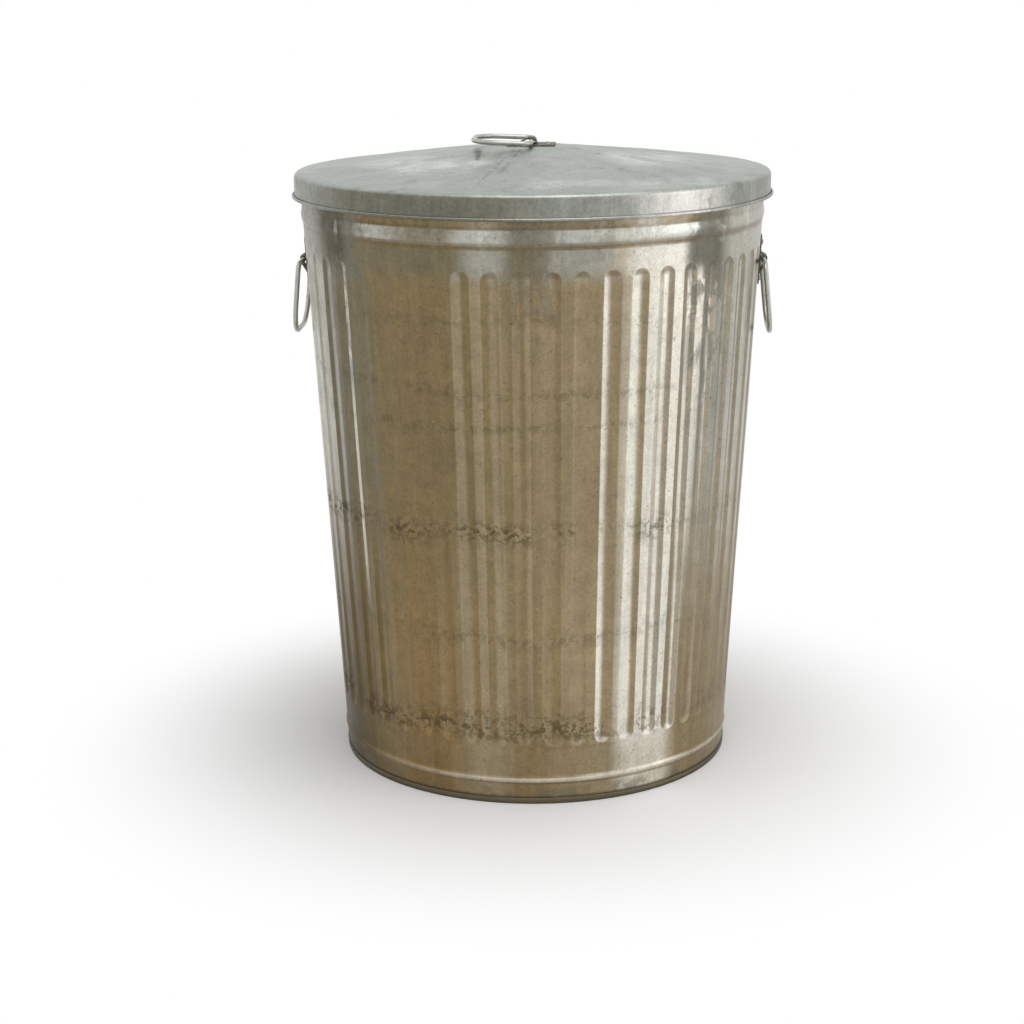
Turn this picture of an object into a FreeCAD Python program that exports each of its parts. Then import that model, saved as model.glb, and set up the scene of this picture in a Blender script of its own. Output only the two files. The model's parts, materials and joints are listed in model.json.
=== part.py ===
"""Galvanized trash can with a lift-off lid and three wire drop handles.

Millimetres. The origin is on the floor under the middle of the can, +Z is up, the front faces -Y, and the
two side handles are on +X and -X.
"""
import FreeCAD, Part
import math
import os

from FreeCAD import Vector

OVERRUN = 1.0  # how far a cutting solid runs past what it cuts

# ---- side wall: one tapered sheet -----------------------------------------------------------------------
WALL_SHEET = 0.6
BASE_RADIUS = 223.3  # outside of the wall, carried down to the floor
NECK_RADIUS = 260.0  # outside of the straight neck under the rim
NECK_STEP = 6.0  # from the top bead's upper edge to where the taper ends
RIM_HEIGHT = 673.7  # top of the rolled rim

TOP_BEAD_LEVEL = 628.0
TOP_BEAD_BAND = 22.0
TOP_BEAD_RISE = 1.6
BOTTOM_BEAD_LEVEL = 28.0
BOTTOM_BEAD_BAND = 11.0
BOTTOM_BEAD_RISE = 1.3
BEAD_CREST_SHARE = 0.65  # how much of each flank the rounded crest takes
NECK_BEND_RADIUS = 20.0

FLUTE_COUNT = 50
FLUTE_WIDTH = 20.0
FLUTE_DEPTH = 2.0
FLUTE_BOTTOM = 68.0
FLUTE_TOP = 595.0

LOCK_SEAM_WIDTH = 8.0
LOCK_SEAM_RISE = 1.2

# ---- rolled rim -----------------------------------------------------------------------------------------
RIM_WIRE_DIAMETER = 4.2
ROLL_CLEARANCE = 0.3
ROLL_EDGE = 0.5  # the short straight run at the end of the roll
NECK_JOINT_DROP = 20.0  # the rim's own section starts this far below its top

# ---- bottom pan -----------------------------------------------------------------------------------------
PAN_SHEET = 0.6
FLOOR_HEIGHT = 14.0  # top of the can's floor
PAN_CORNER_RADIUS = 5.0
HEM_HEIGHT = 7.0  # the fold that shows round the foot
HEM_FOLD_RADIUS = 0.4
SEAM_GAP = 0.2  # between the folded sheets

# ---- lid ------------------------------------------------------------------------------------------------
LID_SHEET = 0.6
LID_REST_GAP = 0.3  # from the rim's top to the underside of the lid
LID_PLAY = 1.4  # between the rolled rim and the skirt, all round
LID_RISE = 26.2  # the flat middle stands this far above the underside at the rim
LID_MIDDLE_RADIUS = 34.0
LID_MIDDLE_BLEND = 60.0
LID_SHOULDER_RADIUS = 5.0
SKIRT_DROP = 26.2  # the skirt hangs this far below the rim's top
SKIRT_ROLL_RADIUS = 1.5

# ---- ears -----------------------------------------------------------------------------------------------
EAR_SHEET = 1.5
EAR_WIDTH = 40.0
EAR_RISE = 26.5  # from the handle's pivot to the upper end
EAR_DROP = 28.0  # from the pivot to the lower end
EAR_CORNER_RADIUS = 6.0
EAR_SEAT_GAP = 0.1
STRAP_WIDTH = 16.0
STRAP_CUT = 0.4  # the slit each side of the raised strap
STRAP_ROOT_LENGTH = 12.0  # from the wire's play up to the end of the strap's root, in the plate
STRAP_HEADROOM = 0.2  # from the wire's play up to the strap's outer top corner
STRAP_TOP_FALL = 1.0  # how much the strap's top slopes down outward
STRAP_TOP_BEND = 5.0
STRAP_CREST_BEND = 3.4
STRAP_BACK_BEND = 4.0
STRAP_TAIL_LENGTH = 13.5  # from the wire's play down to where the strap meets the plate again
STRAP_TAIL_BEND = 4.0
STRAP_TAIL_EDGE = 2.0  # the tail's end, in the plate
STRAP_WINDOW_RISE = 4.0  # the window's upper edge over the strap's inner top corner
EAR_LEVEL = 574.0  # height of the side handles' pivots

# ---- rivets ---------------------------------------------------------------------------------------------
RIVET_SHANK_DIAMETER = 4.6
RIVET_HOLE_CLEARANCE = 0.1
RIVET_HEAD_DIAMETER = 8.0
RIVET_HEAD_HEIGHT = 2.2
RIVET_TAIL_DIAMETER = 6.4
RIVET_TAIL_TIP_DIAMETER = 5.1
RIVET_TAIL_HEIGHT = 1.2
RIVET_SEAT_GAP = 0.05
UPPER_RIVET = 18.0  # from the pivot, up the ear
LOWER_RIVET = -23.0

# ---- bails ----------------------------------------------------------------------------------------------
BAIL_WIRE_DIAMETER = 5.6
BAIL_PLAY = 0.25  # round the wire, in the ear
BAIL_END_GAP = 1.2  # where the two ends of the wire meet
BAIL_TOP_BEND = 10.0
SIDE_BAIL_WIDTH = 100.0
SIDE_BAIL_DROP = 80.0
SIDE_BAIL_BEND = 32.0
SIDE_BAIL_TILT = 5.5  # degrees outward from plumb, as it hangs
LID_BAIL_WIDTH = 86.0
LID_BAIL_DROP = 64.5
LID_BAIL_BEND = 30.0
LID_BAIL_TILT = 2.2  # degrees above level, as it lies to the left

# ---- sizes that follow from those -----------------------------------------------------------------------
NECK_HEIGHT = TOP_BEAD_LEVEL + TOP_BEAD_BAND / 2 + NECK_STEP
WALL_SLOPE = (NECK_RADIUS - BASE_RADIUS) / NECK_HEIGHT
WALL_ANGLE = math.degrees(math.atan(WALL_SLOPE))
WALL_EDGE = PAN_SHEET + SEAM_GAP  # height of the wall's lower edge, in the fold
NECK_JOINT = RIM_HEIGHT - NECK_JOINT_DROP
RIM_ROLL = RIM_WIRE_DIAMETER / 2 + ROLL_CLEARANCE + WALL_SHEET / 2
RIM_WIRE_RADIUS = NECK_RADIUS - WALL_SHEET / 2 + RIM_ROLL
RIM_OUTER_RADIUS = RIM_WIRE_RADIUS + RIM_ROLL + WALL_SHEET / 2
SKIRT_RADIUS = RIM_OUTER_RADIUS + LID_PLAY + LID_SHEET / 2
LID_SEAT = RIM_HEIGHT + LID_REST_GAP + LID_SHEET / 2
LID_MIDDLE = LID_SEAT + LID_RISE
LID_TOP = LID_MIDDLE + LID_SHEET / 2
EAR_FACE = EAR_SEAT_GAP + EAR_SHEET
PIVOT_STANDOFF = EAR_FACE + BAIL_PLAY + BAIL_WIRE_DIAMETER / 2

UP = Vector(0, 0, 1)
ORIGIN = Vector(0, 0, 0)


def wall_radius(height):
    """Outside of the tapered wall at a height."""
    return BASE_RADIUS + WALL_SLOPE * height


# ---- sheet metal: runs of straight lines with rounded corners, in the XZ plane --------------------------
def left_of(direction):
    return Vector(-direction.z, 0, direction.x)


def path_edges(corners, shift=0.0):
    """Edges of a run through corners (x, z, bend radius), moved to its own left by shift."""
    points = [Vector(x, 0, z) for x, z, bend in corners]
    ways = [(b - a).normalize() for a, b in zip(points, points[1:])]
    edges = []
    start = points[0] + left_of(ways[0]) * shift
    for point, (x, z, bend), way_in, way_out in zip(points[1:], corners[1:], ways, ways[1:]):
        normal_in, normal_out = left_of(way_in), left_of(way_out)
        corner = point + (normal_in + normal_out) * (shift / (1 + normal_in.dot(normal_out)))
        side = math.copysign(1, normal_in.dot(way_out))
        radius = bend - side * shift
        reach = radius * math.tan(way_in.getAngle(way_out) / 2)
        bend_in, bend_out = corner - way_in * reach, corner + way_out * reach
        centre = bend_in + normal_in * side * radius
        middle = centre + (corner - centre).normalize() * radius
        if (bend_in - start).dot(way_in) > 1e-6:
            edges.append(Part.makeLine(start, bend_in))
        edges.append(Part.Arc(bend_in, middle, bend_out).toShape())
        start = bend_out
    end = points[-1] + left_of(ways[-1]) * shift
    if (end - start).dot(ways[-1]) > 1e-6:
        edges.append(Part.makeLine(start, end))
    return edges


def path_ends(edges):
    return edges[0].firstVertex(True).Point, edges[-1].lastVertex(True).Point


def sheet_face(corners, right, left):
    """The section of a sheet that lies from right to left of the run through the corners."""
    near, far = path_edges(corners, -right), path_edges(corners, left)
    near_start, near_end = path_ends(near)
    far_start, far_end = path_ends(far)
    caps = [Part.makeLine(near_end, far_end), Part.makeLine(far_start, near_start)]
    return Part.Face(Part.Wire(Part.__sortEdges__(near + far + caps)))


def spun(face):
    """The round solid that a section makes about the can's own axis."""
    solid = face.revolve(ORIGIN, UP, 360)
    return solid if solid.Volume > 0 else solid.reversed()


def sheet_ring(corners, right, left):
    return spun(sheet_face(corners, right, left))


def filled_ring(corners, shift):
    """The whole round solid inside a run that goes upward."""
    edges = path_edges(corners, shift)
    start, end = path_ends(edges)
    foot, head = Vector(0, 0, start.z), Vector(0, 0, end.z)
    closing = [Part.makeLine(end, head), Part.makeLine(head, foot), Part.makeLine(foot, start)]
    return spun(Part.Face(Part.Wire(Part.__sortEdges__(edges + closing))))


# ---- side wall ------------------------------------------------------------------------------------------
def bead(level, band, rise):
    """Three corners of a rounded bead that stands out of the tapered wall."""
    peak = rise / (1 - BEAD_CREST_SHARE / 2)
    half = band / 2
    flank = math.hypot(half, peak)
    crest = BEAD_CREST_SHARE * flank * half / peak
    foot = (1 - BEAD_CREST_SHARE) / 2 * flank / math.tan(math.atan2(peak, half) / 2)
    return [
        (wall_radius(level - half), level - half, foot),
        (wall_radius(level) + peak, level, crest),
        (wall_radius(level + half), level + half, foot),
    ]


def wall_run(foot, head):
    """The outside of the wall, from its lower edge up to the straight neck."""
    return [
        (wall_radius(foot), foot, 0),
        *bead(BOTTOM_BEAD_LEVEL, BOTTOM_BEAD_BAND, BOTTOM_BEAD_RISE),
        *bead(TOP_BEAD_LEVEL, TOP_BEAD_BAND, TOP_BEAD_RISE),
        (NECK_RADIUS, NECK_HEIGHT, NECK_BEND_RADIUS),
        (NECK_RADIUS, head, 0),
    ]


def flute_tools(depth_below):
    """Round-ended bars whose surface lies depth_below under the flutes' own, for every flute but the seam's."""
    half = FLUTE_WIDTH / 2
    bar = (half**2 + FLUTE_DEPTH**2) / (2 * FLUTE_DEPTH)
    out = bar - FLUTE_DEPTH
    low, high = FLUTE_BOTTOM + half, FLUTE_TOP - half
    tilt = math.radians(WALL_ANGLE)
    ends = [
        Vector(0, -wall_radius(height) - out * math.cos(tilt), height - out * math.sin(tilt))
        for height in (low, high)
    ]
    radius = bar + depth_below
    run = ends[1] - ends[0]
    tool = Part.makeCylinder(radius, run.Length, ends[0], run)
    for end in ends:
        tool = tool.fuse(Part.makeSphere(radius, end))
    clear = half + OVERRUN
    outer, inner = wall_radius(high) + OVERRUN, wall_radius(low) - FLUTE_DEPTH - OVERRUN
    near_wall = Part.makeBox(2 * clear, outer - inner, NECK_HEIGHT, Vector(-clear, -outer, 0))
    tool = tool.common(near_wall)
    seam = FLUTE_COUNT // 2
    turns = [360 / FLUTE_COUNT * index for index in range(FLUTE_COUNT) if index != seam]
    return [tool.rotated(ORIGIN, UP, turn) for turn in turns]


def lock_seam():
    """The folded seam that closes the sheet, a flat strip up the back."""
    foot = HEM_HEIGHT + SEAM_GAP
    skin = sheet_ring(wall_run(foot, NECK_JOINT), LOCK_SEAM_RISE, 0)
    strip = Part.makeBox(
        LOCK_SEAM_WIDTH,
        NECK_RADIUS,
        RIM_HEIGHT,
        Vector(-LOCK_SEAM_WIDTH / 2, BASE_RADIUS / 2, 0),
    )
    return skin.common(strip)


def rim_run():
    """The middle of the sheet from the neck round the rim's wire."""
    inner = NECK_RADIUS - WALL_SHEET / 2
    outer = inner + 2 * RIM_ROLL
    top = RIM_HEIGHT - WALL_SHEET / 2
    bottom = top - 2 * RIM_ROLL
    return [
        (inner, NECK_JOINT, 0),
        (inner, top, RIM_ROLL),
        (outer, top, RIM_ROLL),
        (outer, bottom, RIM_ROLL),
        (outer - RIM_ROLL - ROLL_EDGE, bottom, 0),
    ]


def side_wall():
    outside = filled_ring(wall_run(WALL_EDGE, NECK_JOINT), 0).cut(flute_tools(0))
    inside = filled_ring(wall_run(WALL_EDGE - OVERRUN, NECK_JOINT + OVERRUN), WALL_SHEET)
    inside = inside.cut(flute_tools(WALL_SHEET))
    half = WALL_SHEET / 2
    wall = outside.cut(inside).fuse([lock_seam(), sheet_ring(rim_run(), half, half)])
    holes = [
        on_side(rivet_hole(level, -WALL_SHEET), turned)
        for turned in (False, True)
        for level in (UPPER_RIVET, LOWER_RIVET)
    ]
    return wall.cut(holes).removeSplitter()


def rim_wire():
    centre = Vector(0, 0, RIM_HEIGHT - WALL_SHEET / 2 - RIM_ROLL)
    return Part.makeTorus(RIM_WIRE_RADIUS, RIM_WIRE_DIAMETER / 2, centre, UP)


# ---- bottom pan -----------------------------------------------------------------------------------------
def bottom_pan():
    half = PAN_SHEET / 2
    inward = WALL_SHEET + SEAM_GAP + half
    outward = SEAM_GAP + half
    floor = FLOOR_HEIGHT - half
    run = [
        (0, floor, 0),
        (wall_radius(floor) - inward, floor, PAN_CORNER_RADIUS),
        (wall_radius(half) - inward, half, HEM_FOLD_RADIUS),
        (wall_radius(half) + outward, half, HEM_FOLD_RADIUS),
        (wall_radius(HEM_HEIGHT) + outward, HEM_HEIGHT, 0),
    ]
    return sheet_ring(run, half, half)


# ---- lid ------------------------------------------------------------------------------------------------
def lid_shell():
    half = LID_SHEET / 2
    fall = LID_RISE / (RIM_WIRE_RADIUS - LID_MIDDLE_RADIUS)
    edge = RIM_HEIGHT - SKIRT_DROP + half
    roll = SKIRT_ROLL_RADIUS
    run = [
        (0, LID_MIDDLE, 0),
        (LID_MIDDLE_RADIUS, LID_MIDDLE, LID_MIDDLE_BLEND),
        (SKIRT_RADIUS, LID_MIDDLE - fall * (SKIRT_RADIUS - LID_MIDDLE_RADIUS), LID_SHOULDER_RADIUS),
        (SKIRT_RADIUS, edge, roll),
        (SKIRT_RADIUS + 2 * roll, edge, roll),
        (SKIRT_RADIUS + 2 * roll, edge + 2 * roll, roll),
        (SKIRT_RADIUS + roll, edge + 2 * roll, 0),
    ]
    shell = sheet_ring(run, half, half)
    holes = [on_lid(rivet_hole(level, -LID_SHEET)) for level in (UPPER_RIVET, LOWER_RIVET)]
    return shell.cut(holes)


# ---- places for what the ears carry: a local frame with X off the surface and Z up the ear --------------
def on_side(shape, turned):
    """Place a shape that is drawn at an ear on the right side of the can, or on the left."""
    placed = shape.rotated(ORIGIN, Vector(0, 1, 0), WALL_ANGLE)
    placed.translate(Vector(wall_radius(EAR_LEVEL), 0, EAR_LEVEL))
    return placed.rotated(ORIGIN, UP, 180) if turned else placed


def on_lid(shape):
    placed = shape.rotated(ORIGIN, Vector(1, 0, 1), 180)
    placed.translate(Vector(0, 0, LID_TOP))
    return placed


# ---- ears -----------------------------------------------------------------------------------------------
def rounded_plate(width, low, high, corner, depth):
    """A plate across X, from 0 to depth, with rounded corners."""
    plate = Part.makeBox(depth, width, high - low, Vector(0, -width / 2, low))
    upright = [edge for edge in plate.Edges if abs(edge.tangentAt(edge.FirstParameter).x) > 0.9]
    return plate.makeFillet(corner, upright)


def ear_plate(seat_radius):
    """The stamped plate, bent to the wall it sits on where seat_radius is given."""
    if seat_radius is None:
        plate = rounded_plate(EAR_WIDTH, -EAR_DROP, EAR_RISE, EAR_CORNER_RADIUS, EAR_SHEET)
        return plate.translated(Vector(EAR_SEAT_GAP, 0, 0))
    sag = seat_radius - math.sqrt(seat_radius**2 - (EAR_WIDTH / 2) ** 2)
    outline = rounded_plate(EAR_WIDTH, -EAR_DROP, EAR_RISE, EAR_CORNER_RADIUS, EAR_SHEET + 2 * sag)
    axis_foot = Vector(-seat_radius, 0, -EAR_DROP)
    length = EAR_RISE + EAR_DROP
    inner = seat_radius + EAR_SEAT_GAP
    bent = Part.makeCylinder(inner + EAR_SHEET, length, axis_foot).cut(
        Part.makeCylinder(inner, length, axis_foot)
    )
    return bent.common(outline.translated(Vector(-sag, 0, 0)))


def strap_run():
    """The middle of the raised strap's sheet, from above the wire round it and back to the plate."""
    sheet = EAR_SEAT_GAP + EAR_SHEET / 2
    around = BAIL_WIRE_DIAMETER / 2 + BAIL_PLAY + EAR_SHEET / 2
    crest = PIVOT_STANDOFF + around
    top = around + STRAP_HEADROOM
    tail = -around - STRAP_TAIL_LENGTH
    return [
        (sheet, around + STRAP_ROOT_LENGTH, 0),
        (sheet, top + STRAP_TOP_FALL, STRAP_TOP_BEND),
        (crest, top, STRAP_CREST_BEND),
        (crest, -around, STRAP_BACK_BEND),
        (sheet, tail, STRAP_TAIL_BEND),
        (sheet, tail - STRAP_TAIL_EDGE, 0),
    ]


def strap():
    half = EAR_SHEET / 2
    section = sheet_face(strap_run(), half, half)
    section.translate(Vector(0, -STRAP_WIDTH / 2, 0))
    return section.extrude(Vector(0, STRAP_WIDTH, 0))


def strap_window():
    """The hole that the raised strap leaves in the plate."""
    root, top, crest, back, tail, end = [height for x, height, bend in strap_run()]
    high = top + STRAP_WINDOW_RISE
    width = STRAP_WIDTH + 2 * STRAP_CUT
    return Part.makeBox(EAR_FACE + 2 * OVERRUN, width, high - tail, Vector(-OVERRUN, -width / 2, tail))


def ear(seat_radius=None):
    body = ear_plate(seat_radius).cut(strap_window()).fuse(strap()).removeSplitter()
    return body.cut([rivet_hole(level, 0) for level in (UPPER_RIVET, LOWER_RIVET)])


# ---- rivets ---------------------------------------------------------------------------------------------
def rivet_hole(level, back):
    """A hole through whatever lies between the back of a sheet and the front of the ear."""
    radius = RIVET_SHANK_DIAMETER / 2 + RIVET_HOLE_CLEARANCE
    start = Vector(back - OVERRUN, 0, level)
    return Part.makeCylinder(radius, EAR_FACE - back + 2 * OVERRUN, start, Vector(1, 0, 0))


def rivet(level, sheet):
    """A domed rivet through an ear and the sheet behind it, upset on the far side."""
    head, tail = RIVET_HEAD_DIAMETER / 2, RIVET_TAIL_DIAMETER / 2
    face = EAR_FACE + RIVET_SEAT_GAP
    back = -sheet - RIVET_SEAT_GAP
    dome = (head**2 + RIVET_HEAD_HEIGHT**2) / (2 * RIVET_HEAD_HEIGHT)
    out = Vector(1, 0, 0)
    ball = Part.makeSphere(dome, Vector(face + RIVET_HEAD_HEIGHT - dome, 0, level))
    cap = ball.common(Part.makeCylinder(head, RIVET_HEAD_HEIGHT, Vector(face, 0, level), out))
    shank = Part.makeCylinder(RIVET_SHANK_DIAMETER / 2, face - back, Vector(back, 0, level), out)
    foot_start = Vector(back - RIVET_TAIL_HEIGHT, 0, level)
    foot = Part.makeCone(RIVET_TAIL_TIP_DIAMETER / 2, tail, RIVET_TAIL_HEIGHT, foot_start, out)
    return cap.fuse([shank, foot]).removeSplitter()


# ---- bails ----------------------------------------------------------------------------------------------
def bail(width, drop, bend):
    """A wire ring that hangs straight down from a pivot along Y, its two ends meeting in the ear."""
    half = width / 2
    run = [
        (BAIL_END_GAP / 2, 0, 0),
        (half, 0, BAIL_TOP_BEND),
        (half, -drop, bend),
        (-half, -drop, bend),
        (-half, 0, BAIL_TOP_BEND),
        (-BAIL_END_GAP / 2, 0, 0),
    ]
    pieces = []
    for edge in path_edges(run):
        start, way = edge.firstVertex(True).Point, edge.tangentAt(edge.FirstParameter)
        section = Part.Face(Part.Wire(Part.makeCircle(BAIL_WIRE_DIAMETER / 2, start, way)))
        if isinstance(edge.Curve, Part.Line):
            pieces.append(section.extrude(way * edge.Length))
        else:
            turn = math.degrees(edge.Length / edge.Curve.Radius)
            pieces.append(section.revolve(edge.Curve.Center, edge.Curve.Axis, turn))
    ring = pieces[0].fuse(pieces[1:]).removeSplitter()
    return ring.rotated(ORIGIN, UP, 90)


def side_bail(turned):
    hanging = bail(SIDE_BAIL_WIDTH, SIDE_BAIL_DROP, SIDE_BAIL_BEND)
    hanging = hanging.rotated(ORIGIN, Vector(0, 1, 0), -SIDE_BAIL_TILT - WALL_ANGLE)
    return on_side(hanging.translated(Vector(PIVOT_STANDOFF, 0, 0)), turned)


def lid_bail():
    lying = bail(LID_BAIL_WIDTH, LID_BAIL_DROP, LID_BAIL_BEND)
    lying = lying.rotated(ORIGIN, Vector(0, 1, 0), 90 + LID_BAIL_TILT)
    return lying.translated(Vector(0, 0, LID_TOP + PIVOT_STANDOFF))


# ---- the whole object -----------------------------------------------------------------------------------
def all_parts():
    parts = {
        "side_wall": side_wall(),
        "rim_wire": rim_wire(),
        "bottom_pan": bottom_pan(),
        "lid_shell": lid_shell(),
        "lid_ear": on_lid(ear()),
        "lid_right_rivet": on_lid(rivet(UPPER_RIVET, LID_SHEET)),
        "lid_left_rivet": on_lid(rivet(LOWER_RIVET, LID_SHEET)),
        "lid_bail": lid_bail(),
    }
    for side, turned in (("right", False), ("left", True)):
        parts[f"{side}_ear"] = on_side(ear(wall_radius(EAR_LEVEL)), turned)
        parts[f"{side}_ear_upper_rivet"] = on_side(rivet(UPPER_RIVET, WALL_SHEET), turned)
        parts[f"{side}_ear_lower_rivet"] = on_side(rivet(LOWER_RIVET, WALL_SHEET), turned)
        parts[f"{side}_bail"] = side_bail(turned)
    return parts


os.makedirs("parts", exist_ok=True)
for name, shape in all_parts().items():
    shape.exportStep(f"parts/{name}.step")
    print(f"{name}: {len(shape.Solids)} solid, {shape.Volume / 1000:.2f} cm3, valid {shape.isValid()}")
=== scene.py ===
"""Looks of a galvanized trash can with a lift-off lid and three wire drop handles.

Metres and degrees, in the part's own frame. An azimuth of 0 faces the front (-Y) and 90 faces +X.
"""
import json
import math

import bpy
import numpy as np
from mathutils import Matrix, Vector

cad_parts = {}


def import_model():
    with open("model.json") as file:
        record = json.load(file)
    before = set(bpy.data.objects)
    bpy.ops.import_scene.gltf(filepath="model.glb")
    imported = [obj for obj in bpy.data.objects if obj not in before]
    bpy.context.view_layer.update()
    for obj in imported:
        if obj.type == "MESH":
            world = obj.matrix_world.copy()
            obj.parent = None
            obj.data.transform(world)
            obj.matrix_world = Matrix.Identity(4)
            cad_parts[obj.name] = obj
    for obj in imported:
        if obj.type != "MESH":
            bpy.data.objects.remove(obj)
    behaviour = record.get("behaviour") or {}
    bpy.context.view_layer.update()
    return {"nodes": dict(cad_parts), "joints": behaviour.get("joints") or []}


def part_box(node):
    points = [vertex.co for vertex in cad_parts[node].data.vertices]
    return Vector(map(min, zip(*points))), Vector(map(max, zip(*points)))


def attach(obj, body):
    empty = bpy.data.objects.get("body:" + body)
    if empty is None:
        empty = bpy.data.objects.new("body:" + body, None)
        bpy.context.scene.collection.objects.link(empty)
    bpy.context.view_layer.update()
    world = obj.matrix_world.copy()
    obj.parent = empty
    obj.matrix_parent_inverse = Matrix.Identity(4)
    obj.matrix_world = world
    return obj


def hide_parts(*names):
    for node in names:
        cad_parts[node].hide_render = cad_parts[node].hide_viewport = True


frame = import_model()

# ---- sizes of the sheet metal ---------------------------------------------------------------------------
SHEET = 0.0006
BASE_RADIUS = 0.2233
NECK_RADIUS = 0.2600
NECK_HEIGHT = 0.6450
WALL_FOOT = 0.0008
NECK_JOINT = 0.6537
WALL_SLOPE = (NECK_RADIUS - BASE_RADIUS) / NECK_HEIGHT
BEADS = ((0.028, 0.011, 0.0013), (0.628, 0.022, 0.0016))  # height, band, rise

FLUTE_COUNT = 50
FLUTE_HALF = 0.010
FLUTE_DEPTH = 0.002
FLUTE_BOTTOM = 0.068
FLUTE_TOP = 0.595
FLUTE_EDGE_POWER = 1.3  # above 1, the edge of a flute is rounded
FLUTE_COLUMNS = (0.0, 0.22, 0.42, 0.6, 0.74, 0.85, 0.93, 0.98, 1.03)  # as shares of its half width
LAND_COLUMNS = (0.35, 0.7)  # as shares of the way to the middle of the land
SEAM_HALF = 0.004
SEAM_RISE = 0.0012
SEAM_SHOULDER = 0.0005
# Slight waves of the rolled sheet: size, waves round the can and their phase, waves upward and their phase.
WALL_SWAYS = ((0.00045, 3, 1.3, 9, 0.7), (0.00018, 11, 0.4, 23, 2.1))

RIM_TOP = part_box("side_wall")[1].z
RIM_ROLL = 0.0027  # middle of the sheet round the wire
ROLL_EDGE = 0.0005

FOOT_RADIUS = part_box("bottom_pan")[1].x
FLOOR_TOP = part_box("bottom_pan")[1].z
HEM_HEIGHT = 0.007
HEM_DEPTH = 0.0016
HEM_FOLD = 0.0004
PAN_CORNER = 0.005
PAN_COLUMNS = 320

LID_LOW, LID_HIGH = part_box("lid_shell")
SKIRT_ROLL = 0.0015
SKIRT_RADIUS = LID_HIGH.x - SHEET / 2 - 2 * SKIRT_ROLL
LID_MIDDLE_RADIUS = 0.034
LID_MIDDLE_BLEND = 0.060
LID_SHOULDER = 0.005
LID_FALL = 0.0262 / (NECK_RADIUS - SHEET / 2 + RIM_ROLL - LID_MIDDLE_RADIUS)
LID_COLUMNS = 400
LID_WAVES = ((0.0011, 2, 0.6), (0.0006, 5, 2.0))  # size, waves round the lid, phase
LID_CREASE_SIZE = 0.0005
# Dents of the lid: height, place and reach (x, y).
LID_DENTS = ((-0.0016, -0.05, -0.12, 0.05, 0.05), (0.0022, 0.15, 0.08, 0.06, 0.08))

CENTRE_GAP = 0.0005  # radius at which a spun sheet ends in its middle

WIRE_RADIUS = 0.0028
WIRE_GAP = 0.0012
WIRE_TOP_BEND = 0.010
WIRE_SIDES = 20
SIDE_BAIL = (0.100, 0.080, 0.032)  # width, drop, bend
LID_BAIL = (0.086, 0.0645, 0.030)
SIDE_TILT = 5.5
LID_TILT = 92.2
# Name, body, size, tilt from plumb, and the side (of X) to which it tilts.
HANDLES = (
    ("right_handle", "right_bail", SIDE_BAIL, SIDE_TILT, 1),
    ("left_handle", "left_bail", SIDE_BAIL, SIDE_TILT, -1),
    ("lid_handle", "lid_bail", LID_BAIL, LID_TILT, -1),
)

# ---- the photograph's view and light --------------------------------------------------------------------
CAMERA_AZIMUTH = 2.8
CAMERA_DISTANCE = 2.4538
CAMERA_HEIGHT = 0.9181
CAMERA_PITCH = 14.689
CAMERA_YAW = -0.607
CAMERA_ROLL = -0.489
CAMERA_LENS = 76.05

# Name, azimuth from the camera's own side, distance, height, size and power.
LAMPS = (
    ("right_window", 75, 3.0, 1.1, (1.3, 2.4), 12),
    ("top_panel", 20, 1.0, 3.2, (2.0, 2.0), 30),
)
LAMP_AIM = Vector((0, 0, 0.35))
WORLD_LIGHT = 0.62  # of the even light that falls on things
FLOOR_HALF = 14.0
FLOOR_TONE = (0.93, 0.93, 0.93, 1)
FLOOR_ROUGHNESS = 0.9
FLOOR_SPECULAR = 0.2
FLOOR_FADE = (0.24, 0.60)  # radii between which the floor turns into the white background


def facing(azimuth):
    return Vector((math.sin(math.radians(azimuth)), -math.cos(math.radians(azimuth)), 0))


def smooth_step(low, high, value):
    share = np.clip((value - low) / (high - low), 0, 1)
    return share * share * (3 - 2 * share)


# ---- meshes ---------------------------------------------------------------------------------------------
def rounded_run(corners, spacing=1.0, arc_step=12.0):
    """Points of a run through corners (x, z, bend radius), with arcs in its bends."""
    points = [Vector((x, z)) for x, z, bend in corners]
    ways = [(b - a).normalized() for a, b in zip(points, points[1:])]
    stops = [points[0]]
    for point, (x, z, bend), way_in, way_out in zip(points[1:], corners[1:], ways, ways[1:]):
        turn = way_in.angle_signed(way_out)
        reach = bend * math.tan(abs(turn) / 2)
        start = point - way_in * reach
        normal = Vector((way_in.y, -way_in.x)) * math.copysign(1, turn)
        centre = start + normal * bend
        stops.append(start)
        steps = max(2, math.ceil(math.degrees(abs(turn)) / arc_step))
        for step in range(1, steps + 1):
            arm = Matrix.Rotation(-turn * step / steps, 2) @ (start - centre)
            stops.append(centre + arm)
    stops.append(points[-1])
    run = [stops[0]]
    for a, b in zip(stops, stops[1:]):
        parts = max(1, math.ceil((b - a).length / spacing))
        run += [a.lerp(b, part / parts) for part in range(1, parts + 1)]
    return np.array(run)


def grid_object(name, places, body, material):
    """A sheet through a grid of places, whose columns close into a ring."""
    rows, columns = places.shape[:2]
    index = np.arange(rows * columns).reshape(rows, columns)
    turned = np.roll(index, -1, axis=1)
    faces = np.stack([index[:-1], turned[:-1], turned[1:], index[1:]], axis=-1).reshape(-1, 4)
    mesh = bpy.data.meshes.new(name)
    mesh.from_pydata(places.reshape(-1, 3).tolist(), [], faces.tolist())
    mesh.shade_smooth()
    piece = bpy.data.objects.new(name, mesh)
    bpy.context.collection.objects.link(piece)
    mesh.materials.append(material)
    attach(piece, body)
    return piece


def thicken(piece):
    sheet = piece.modifiers.new("sheet", "SOLIDIFY")
    sheet.thickness = SHEET
    sheet.offset = 0


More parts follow.
